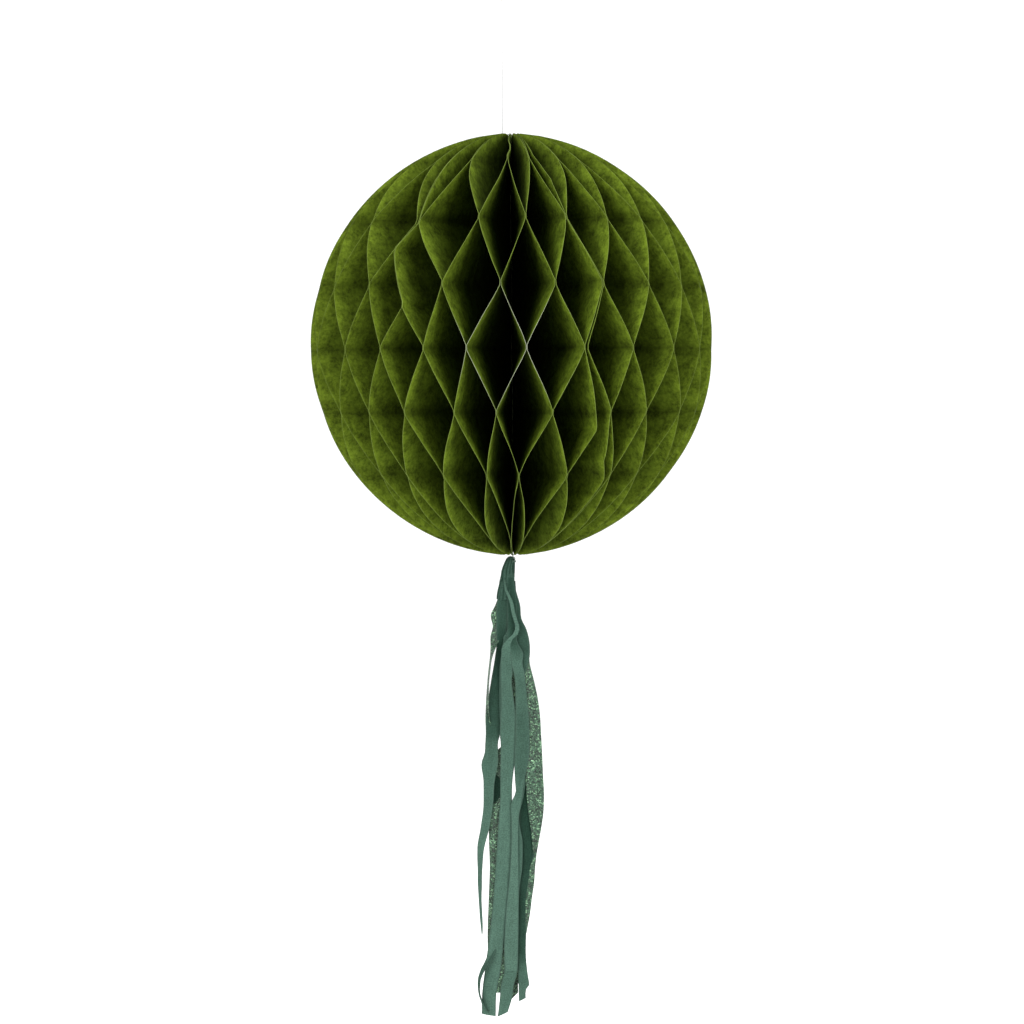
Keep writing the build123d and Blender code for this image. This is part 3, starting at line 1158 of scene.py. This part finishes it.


# Each strip's glow table is painted light and shade, by drop.
TASSEL_STRIPS = (
    Strip(
        "tissue_strip_1",
        Paper.TISSUE,
        (7.0, 222.0),
        (
            (117.0, -4.4, -3.6, 3.2, 3.4), (121.0, -4.2, -3.0, 3.9, 4.1),
            (126.7, -2.0, -0.2, 5.0, 5.0), (134.8, -0.2, 1.7, 5.4, 5.4), (140.6, 1.3, 3.4, 5.3, 5.3),
            (143.4, 0.4, 3.0, 5.2, 5.2), (148.0, -4.3, -1.0, 4.8, 4.6), (155.4, -5.8, 0.2, 3.6, 3.7),
            (162.0, -6.0, 0.2, 3.0, 3.4), (167.0, -6.0, -0.5, 3.0, 3.4), (172.0, -5.8, -0.1, 3.0, 3.2),
            (178.4, -5.6, 0.8, 3.0, 3.0), (186.0, -6.1, 1.5, 3.0, 3.0), (194.5, -6.4, 1.5, 3.0, 3.0),
            (199.0, -6.0, 1.4, 3.0, 3.0), (208.5, -6.1, 1.0, 2.9, 3.0), (217.0, -6.2, 0.0, 2.9, 2.9),
            (225.0, -6.2, -0.3, 2.9, 2.9), (236.5, -7.0, -0.2, 2.9, 2.9),
            (259.5, -8.5, -0.8, 2.9, 2.9), (278.0, -9.8, -2.6, 2.9, 2.9),
            (294.5, -11.6, -4.2, 2.9, 2.9), (312.0, -13.9, -6.0, 2.8, 2.9),
            (324.5, -15.4, -8.2, 2.6, 2.9), (335.5, -15.6, -8.5, 2.4, 2.8),
        ),
        slant=1.2,
        glow=((119.0, 0.6), (126.0, 1.3), (146.0, 1.3), (152.0, 0.75), (190.0, 0.7), (230.0, 0.9)),
    ),
    Strip(
        "tissue_strip_2",
        Paper.TISSUE,
        (6.8, 198.0),
        (
            (116.0, -2.6, 0.2, 2.2, 2.6), (126.0, -2.6, 1.8, 3.0, 2.6), (140.0, -2.6, 2.4, 3.8, 3.0),
            (147.0, -2.4, 2.2, 4.4, 3.8), (154.0, -1.0, 5.4, 4.2, 3.6), (158.5, -0.6, 4.9, 4.0, 3.4),
            (163.0, 0.5, 6.0, 3.8, 3.2), (167.0, 1.2, 6.4, 3.7, 3.1), (175.5, 1.4, 7.2, 3.6, 3.0),
            (188.0, 1.4, 8.3, 3.6, 2.8), (203.0, 1.0, 8.5, 3.6, 2.8), (209.0, 0.8, 7.7, 3.6, 2.8),
            (217.5, 1.2, 5.9, 3.6, 3.0), (223.6, 1.5, 5.1, 3.7, 3.2), (224.9, 0.7, 4.9, 3.7, 3.3),
            (227.0, -0.3, 4.6, 3.8, 3.4), (236.5, -0.6, 3.0, 4.0, 3.6), (246.5, -0.6, 2.8, 4.0, 3.6),
            (262.0, -1.3, 3.0, 3.9, 3.6), (284.0, -3.4, 3.0, 3.8, 3.6), (305.0, -4.3, 2.7, 3.8, 3.6),
            (313.0, -3.9, 2.5, 3.8, 3.6),
        ),
        glow=(
            (140.0, 0.12), (150.0, 0.25), (154.0, 0.6), (160.0, 0.75), (190.0, 0.5), (215.0, 0.55),
            (235.0, 0.95),
        ),
    ),
    Strip(
        "tissue_strip_3",
        Paper.TISSUE,
        (6.6, 214.0),
        (
            (120.0, -3.4, 0.0, 1.6, 1.8), (150.0, -5.0, 0.4, 1.6, 2.2), (162.0, -6.6, -1.0, 1.8, 2.2),
            (184.0, -6.6, -1.0, 2.0, 2.2), (194.0, -5.8, 0.6, 2.1, 2.2), (212.0, -5.8, -0.8, 2.1, 2.2),
            (226.0, -6.0, -1.0, 2.1, 2.2), (245.0, -5.2, 1.4, 2.2, 2.3), (300.0, -4.4, 2.2, 2.5, 2.8),
            (313.0, -4.2, 2.4, 2.8, 3.0), (320.5, -5.9, 0.5, 3.0, 3.0), (327.5, -6.6, -0.4, 3.0, 3.0),
            (335.0, -7.6, -2.4, 3.0, 3.0),
        ),
        slant=-2.4,
        glow=((310.0, 0.6), (316.0, 0.8)),
    ),
    Strip(
        "tissue_strip_4",
        Paper.TISSUE,
        (6.6, 178.0),
        (
            (118.0, -5.6, -1.4, 1.4, 2.6), (130.0, -8.0, -2.2, 1.6, 2.8),
            (140.0, -8.2, -3.0, 1.8, 2.8), (148.0, -8.0, -3.4, 1.6, 1.2),
            (156.0, -9.0, -4.2, 1.6, 0.6), (169.5, -11.2, -4.6, 2.0, 0.4),
            (188.0, -13.4, -5.6, 2.2, 0.8), (194.0, -13.5, -6.2, 2.4, 1.4),
            (199.0, -13.8, -7.4, 2.4, 2.0), (203.0, -14.0, -7.3, 2.4, 2.4),
            (209.0, -15.7, -7.4, 2.4, 2.4), (217.5, -14.7, -9.0, 2.3, 2.4),
            (228.8, -14.7, -9.8, 2.2, 2.4), (241.5, -16.2, -11.8, 2.2, 2.6),
            (251.8, -17.8, -14.4, 2.0, 4.0), (263.5, -17.5, -15.2, 1.6, 4.6),
            (276.3, -16.9, -15.3, 1.8, 4.6), (289.4, -16.2, -15.1, 2.2, 3.8),
            (294.5, -15.7, -15.2, 2.6, 3.0),
        ),
        curl=0.3,
        glow=(
            (118.0, 0.3), (140.0, 0.2), (148.0, 0.1), (166.0, 0.1), (176.0, 0.2), (194.0, 0.25),
            (199.0, 0.6), (250.0, 0.85),
        ),
    ),
    Strip(
        "tissue_strip_5",
        Paper.TISSUE,
        (6.4, 226.0),
        (
            (118.0, -4.0, -1.0, 0.4, 0.8), (150.0, -7.6, -2.4, 0.2, 0.4),
            (180.0, -10.4, -5.0, 0.0, 0.2), (196.0, -12.4, -7.4, 0.0, 0.2),
            (204.0, -12.4, -7.2, 0.0, 0.2), (212.0, -11.4, -5.6, 0.0, 0.2),
            (230.0, -10.6, -4.8, 0.0, 0.4), (270.0, -11.4, -5.2, 0.2, 0.6),
            (298.0, -12.4, -6.6, 0.4, 1.2), (306.5, -13.4, -10.8, 0.4, 5.2),
            (313.0, -16.4, -15.0, 0.2, 6.0), (318.0, -17.6, -16.5, 0.2, 6.2),
            (326.0, -17.1, -15.9, 0.4, 6.0), (330.5, -15.6, -13.8, 0.8, 5.2),
            (334.0, -14.6, -12.0, 1.0, 4.6),
        ),
        glow=((118.0, 0.3), (150.0, 0.05), (250.0, 0.05), (300.0, 0.5)),
    ),
    Strip(
        "tissue_strip_6",
        Paper.TISSUE,
        (7.2, 208.0),
        (
            (118.0, -1.6, 0.4, 0.4, 0.2), (130.0, -0.6, 2.6, 0.4, 0.2), (150.0, 1.4, 7.0, 0.6, 0.2),
            (200.0, 3.6, 10.6, 0.8, 0.4), (229.5, 3.5, 9.8, 1.2, 0.6), (240.0, 3.3, 10.4, 1.2, 0.6),
            (253.0, 4.0, 11.2, 1.2, 0.6), (262.0, 4.0, 9.8, 1.2, 0.8), (271.0, 3.4, 8.2, 1.2, 1.0),
            (284.0, 2.6, 7.4, 1.3, 1.2), (305.0, 2.6, 6.7, 1.5, 1.6), (315.5, 2.8, 7.7, 1.8, 2.0),
            (321.0, 3.0, 8.4, 2.0, 2.0), (323.0, 3.0, 7.0, 2.0, 2.0), (328.0, 3.2, 6.7, 2.0, 2.0),
        ),
        slant=-1.8,
        glow=((118.0, 0.3), (226.0, 0.02), (256.0, 0.08), (305.0, 0.12), (314.0, 0.65)),
    ),
    Strip(
        "tissue_strip_7",
        Paper.TISSUE,
        (6.2, 172.0),
        (
            (114.0, -1.6, 0.8, 2.4, 1.6), (119.5, -2.2, 1.0, 2.8, 1.8), (130.0, -1.6, 3.8, 2.6, 1.8),
            (137.6, -1.0, 4.8, 2.4, 1.8), (140.5, -0.8, 6.4, 2.4, 1.9), (145.0, -0.4, 7.9, 2.3, 2.0),
            (151.0, 0.2, 8.7, 2.2, 2.0), (156.0, 0.8, 8.5, 2.2, 2.0), (160.0, 1.5, 7.4, 2.2, 2.0),
            (166.0, 1.7, 6.2, 2.2, 1.9), (184.0, 1.7, 6.4, 2.2, 1.9), (200.0, 1.4, 7.0, 2.3, 2.0),
            (212.0, 1.8, 7.0, 2.3, 2.0), (226.0, 1.8, 5.4, 2.4, 2.2), (236.0, -1.0, 3.2, 2.4, 2.4),
            (249.0, 0.0, 5.0, 2.4, 2.4), (262.0, 0.0, 4.7, 2.4, 2.4), (271.0, -0.8, 3.5, 2.4, 2.4),
            (281.0, -1.4, 3.0, 2.4, 2.4),
        ),
        glow=((118.0, 0.35), (126.0, 0.2), (150.0, 0.28), (240.0, 0.6)),
    ),
    Strip(
        "tissue_strip_8",
        Paper.TISSUE,
        (7.6, 194.0),
        (
            (118.0, -2.4, 1.4, -1.6, -1.8), (150.0, -4.6, 3.2, -2.6, -2.0),
            (180.0, -5.0, 2.6, -2.6, -2.4), (200.0, -5.4, 1.8, -2.4, -2.8),
            (212.0, -7.6, -0.9, -2.4, -2.8), (227.0, -8.0, -1.0, -2.2, -2.8),
            (250.0, -8.4, -0.6, -2.0, -2.8), (290.0, -6.6, 1.2, -1.4, -2.2),
            (311.0, -7.0, 0.2, -1.0, -1.8),
        ),
        curl=-0.6,
        slant=2.0,
    ),
    Strip(
        "tissue_strip_9",
        Paper.TISSUE,
        (7.8, 204.0),
        (
            (118.0, -1.6, 0.6, -2.2, -1.2), (130.0, -1.6, 2.8, -2.6, -1.4),
            (150.0, 0.2, 7.4, -2.8, -1.6), (200.0, 1.8, 9.8, -2.8, -1.6),
            (228.0, 1.8, 9.6, -2.8, -1.6), (250.0, 0.2, 8.2, -2.4, -1.2),
            (290.0, -1.6, 6.0, -2.4, -1.0), (321.0, -1.8, 5.2, -2.0, -0.6),
        ),
        curl=-0.5,
        slant=-2.0,
    ),
    Strip(
        "glitter_strip_1",
        Paper.GLITTER,
        (5.0, 100.0),
        (
            (120.0, -5.2, -2.6, 0.6, 1.2), (130.0, -8.8, -4.4, 0.6, 1.0),
            (135.0, -11.0, -5.4, 0.8, 0.8), (140.5, -10.0, -5.2, 0.6, 0.8),
            (146.0, -11.2, -6.2, 0.8, 0.8), (151.5, -11.0, -8.8, 0.4, 4.0),
            (156.5, -11.2, -10.2, 0.4, 4.6), (163.0, -11.8, -10.9, 0.4, 4.8),
            (169.5, -12.5, -11.6, 0.4, 4.6), (179.5, -13.4, -11.8, 0.6, 4.0),
            (195.0, -13.5, -10.4, 0.8, 1.4), (215.0, -13.4, -8.8, 0.8, 0.8),
        ),
        curl=0.2,
    ),
    Strip(
        "glitter_strip_2",
        Paper.GLITTER,
        (7.4, 138.0),
        (
            (120.0, -1.4, 0.6, 0.8, 0.4), (130.0, 0.4, 3.2, 1.2, 0.6), (138.5, 1.6, 5.0, 1.4, 0.8),
            (141.5, 2.0, 6.6, 1.4, 0.8), (148.5, 2.4, 8.1, 1.6, 1.0), (153.0, 2.8, 8.4, 1.7, 1.2),
            (158.3, 3.0, 8.5, 1.8, 1.4), (165.8, 3.6, 10.3, 1.9, 1.5), (174.4, 4.6, 12.3, 1.9, 1.6),
            (183.0, 5.6, 13.6, 1.9, 1.7), (195.5, 6.3, 14.4, 1.9, 1.7), (204.9, 6.8, 14.9, 1.9, 1.7),
            (216.0, 6.6, 15.4, 1.9, 1.7), (223.7, 7.0, 15.8, 1.9, 1.7), (233.9, 8.0, 15.5, 1.9, 1.7),
            (240.5, 9.0, 14.6, 1.9, 1.7), (248.2, 9.9, 13.2, 1.9, 1.7), (254.0, 10.4, 12.2, 1.9, 2.4),
        ),
        curl=0.4,
    ),
    Strip(
        "glitter_strip_3",
        Paper.GLITTER,
        (6.0, 178.0),
        (
            (120.0, -1.6, 0.6, -0.6, -0.4), (132.0, -0.6, 3.0, -0.6, -0.4),
            (160.0, 1.2, 8.0, -0.6, -0.4), (213.0, 4.4, 10.6, -0.2, 0.0), (228.5, 4.6, 11.6, 0.0, 0.0),
            (245.0, 5.4, 12.6, 0.0, 0.0), (254.0, 6.2, 12.2, 0.2, 0.2), (261.0, 6.0, 11.4, 0.4, 1.6),
            (268.0, 5.8, 11.0, 0.6, 2.0), (276.0, 5.0, 9.8, 0.6, 2.0), (284.0, 4.0, 8.8, 0.6, 1.8),
            (294.5, 3.2, 6.9, 0.6, 1.6),
        ),
        curl=0.3,
    ),
    Strip(
        "glitter_strip_4",
        Paper.GLITTER,
        (7.2, 206.0),
        (
            (120.0, -3.4, -1.0, 1.0, 1.2), (160.0, -5.0, 1.8, 1.2, 1.2), (184.0, -5.0, 2.0, 1.0, 1.3),
            (197.0, -5.6, -0.2, 1.0, 1.4), (201.0, -6.0, -0.4, 1.0, 1.4),
            (203.0, -8.6, -0.7, 1.0, 1.4), (214.0, -8.8, -0.9, 1.0, 1.5),
            (217.0, -6.2, -0.9, 1.2, 1.6), (226.0, -6.2, -0.9, 1.2, 1.6),
            (230.0, -10.6, -3.4, 1.2, 1.6), (243.0, -12.0, -4.8, 1.4, 1.8),
            (261.0, -11.6, -4.2, 1.6, 1.8), (279.0, -12.2, -4.8, 1.7, 1.9),
            (296.0, -12.7, -5.2, 1.7, 2.0), (306.0, -12.6, -3.4, 1.7, 2.0),
            (314.0, -13.4, -3.8, 1.7, 2.0), (319.0, -14.0, -5.0, 1.7, 2.0),
            (324.4, -14.4, -5.4, 1.7, 2.0),
        ),
        curl=0.3,
    ),
    Strip(
        "glitter_strip_5",
        Paper.GLITTER,
        (6.6, 208.0),
        (
            (118.0, -2.2, 0.4, -1.0, -0.8), (150.0, -3.6, 3.0, -1.4, -1.2),
            (196.0, -4.6, 1.8, -1.2, -1.6), (212.0, -6.6, -0.9, -1.2, -1.4),
            (227.0, -6.8, -1.0, -1.2, -1.4), (250.0, -3.2, 3.4, -1.2, -1.0),
            (301.0, -4.0, 2.4, -0.8, -0.6), (314.0, -2.2, 2.7, -0.8, -0.6),
            (327.5, -1.8, 2.8, -0.8, -0.6),
        ),
        curl=-0.4,
        slant=-5.0,
    ),
)


# ---------------------------------------------------------------- studio


@dataclass
class Studio:
    """Pale floor sweep, soft lights and the camera."""

    eye: tuple[float, float, float] = (0.004, -1.175, -0.2135)
    down: float = 2.91
    roll: float = 0.3
    lens: float = 82.6
    floor_level: float = -0.62
    floor_front: float = -6.0
    floor_reach: float = 2.2
    half_width: float = 7.0
    round_radius: float = 1.2
    wall_height: float = 5.0
    room_light: float = 0.55

    def camera(self) -> None:
        """Places the camera in front of the ball, turned slightly down."""
        data = bpy.data.cameras.new("camera")
        data.lens = self.lens
        data.sensor_width = 36.0
        data.clip_start = 0.01
        camera = bpy.data.objects.new("camera", data)
        camera.location = self.eye
        camera.rotation_euler = (math.radians(90.0 - self.down), math.radians(self.roll), 0.0)
        bpy.context.scene.collection.objects.link(camera)
        bpy.context.scene.camera = camera

    def sweep(self) -> None:
        """Builds the floor and the wall behind it as one sheet, joined by a quarter round."""
        bend = np.linspace(0.0, math.pi / 2.0, 25)
        reach, rounding = self.floor_reach, self.round_radius
        y = np.concatenate(([self.floor_front], reach + rounding * np.sin(bend), [reach + rounding]))
        z = np.concatenate(([0.0], rounding * (1.0 - np.cos(bend)), [self.wall_height])) + self.floor_level
        x = np.linspace(-self.half_width, self.half_width, 3)
        grid = np.stack(np.broadcast_arrays(x[None, :], y[:, None], z[:, None]), -1).reshape(-1, 3)
        i, j = np.meshgrid(np.arange(len(y) - 1), np.arange(2), indexing="ij")
        here, ahead = i * len(x) + j, (i + 1) * len(x) + j
        quads = np.stack((here, here + 1, ahead + 1, ahead), -1).reshape(-1, 4)
        mesh = bpy.data.meshes.new("sweep")
        mesh.from_pydata(grid.tolist(), [], quads.tolist())
        mesh.shade_smooth()
        floor = bpy.data.objects.new("sweep", mesh)
        bpy.context.scene.collection.objects.link(floor)
        n, material, shader = principled("pale_sweep")
        shader.inputs["Base Color"].default_value = (0.94, 0.94, 0.94, 1.0)
        shader.inputs["Emission Color"].default_value = (1.0, 1.0, 1.0, 1.0)
        shader.inputs["Emission Strength"].default_value = 0.12
        shader.inputs["Roughness"].default_value = 0.9
        shader.inputs["Specular IOR Level"].default_value = 0.0
        mesh.materials.append(material)

    def lamp(self, name: str, place: tuple[float, float, float], size: float, power: float) -> None:
        """Hangs a large square soft box that looks at the ball.

        Args:
            name: light name.
            place: where it hangs, in metres.
            size: side of the box.
            power: watts.
        """
        data = bpy.data.lights.new(name, "AREA")
        data.shape = "SQUARE"
        data.size = size
        data.energy = power
        lamp = bpy.data.objects.new(name, data)
        lamp.location = place
        aim = np.array((BALL_AXIS_X * MM, 0.0, -0.25)) - np.array(place)
        flat = math.hypot(aim[0], aim[1])
        lamp.rotation_euler = (math.atan2(flat, -aim[2]), 0.0, math.atan2(-aim[0], aim[1]))
        bpy.context.scene.collection.objects.link(lamp)

    def make(self) -> None:
        """Sets up the camera, the sweep, the lights and the even room light."""
        self.camera()
        self.sweep()
        self.lamp("key_box", (-1.5, -1.9, 0.9), 1.6, 66.0)
        self.lamp("fill_box", (1.7, -1.7, 0.5), 1.6, 46.0)
        self.lamp("top_box", (0.0, 0.3, 1.9), 1.8, 34.0)
        world = bpy.data.worlds.new("room")
        world.use_nodes = True
        background = world.node_tree.nodes["Background"]
        background.inputs["Color"].default_value = (1.0, 1.0, 1.0, 1.0)
        background.inputs["Strength"].default_value = self.room_light
        bpy.context.scene.world = world
        bpy.context.scene.view_settings.view_transform = "Standard"
        log.info("studio: camera, sweep and three soft boxes")


def dress(node: str, finish: bpy.types.Material) -> None:
    """Gives a carried-over CAD node its finish.

    Args:
        node: the node's name.
        finish: its material.
    """
    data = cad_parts[node].data
    data.materials.clear()
    data.materials.append(finish)
    log.info("node: %s", node)


def main() -> None:
    """Builds the studio, the thread, the ball, its small parts and the tassel."""
    logging.basicConfig(level=logging.INFO, format="%(message)s")
    Studio().make()
    white = ThreadFinish("white_cotton", (0.6, 0.6, 0.6), (0.38, 0.38, 0.38)).make()
    sage_thread = ThreadFinish("sage_cotton", (0.05, 0.1, 0.07), (0.02, 0.045, 0.03)).make()
    moss_thread = ThreadFinish("moss_cotton", (0.09, 0.13, 0.03), (0.03, 0.05, 0.01)).make()
    HangingThread().make(white)
    tissue = TissueFinish(
        "moss_tissue",
        # The first two colours: painted light near the rims and painted shade deep in the cells.
        lit=(0.102, 0.149, 0.0112),
        painted_shade=(0.02, 0.033, 0.0022),
        # Edge colours: a pale painted highlight where the cut edge faces the camera, and the edge's colour
        # a little off that.
        cut=(0.3, 0.32, 0.24),
        turned=(0.14, 0.19, 0.04),
        cloud=0.75,
        speck=0.34,
        grain=620.0,
        glue=0.45,
    ).make()
    ball = HoneycombBall()
    ball.make(tissue)
    ball.tapes(TapeFinish("satin_tape", (0.6, 0.63, 0.5)).make())
    sage = TissueFinish(
        "sage_tissue",
        # The first two colours: painted light and painted shade of the sage tissue.
        lit=(0.056, 0.106, 0.08),
        painted_shade=(0.009, 0.026, 0.017),
        # Edge colours: painted shade along the strips' edges, a little darker where the edge faces the
        # camera.
        cut=(0.035, 0.06, 0.045),
        turned=(0.04, 0.07, 0.055),
        cloud=0.16,
        speck=0.34,
        grain=1500.0,
    ).make()
    glitter = GlitterFinish(
        "green_glitter",
        dark=(0.003, 0.015, 0.007),
        mid=(0.032, 0.083, 0.046),
        painted_glint=(0.16, 0.29, 0.17),
        flakes=1700.0,
    ).make()
    Tassel(strips=TASSEL_STRIPS).make(sage, glitter)
    dress("spine_core", CoreFinish("glued_core", (0.12, 0.17, 0.04), (0.04, 0.07, 0.015)).make())
    dress("hang_loop", white)
    for node in ("top_tie", "bottom_tie"):
        dress(node, moss_thread)
    for node in ("link_loop", "tassel_loop"):
        dress(node, sage_thread)


if __name__ == "__main__":
    main()
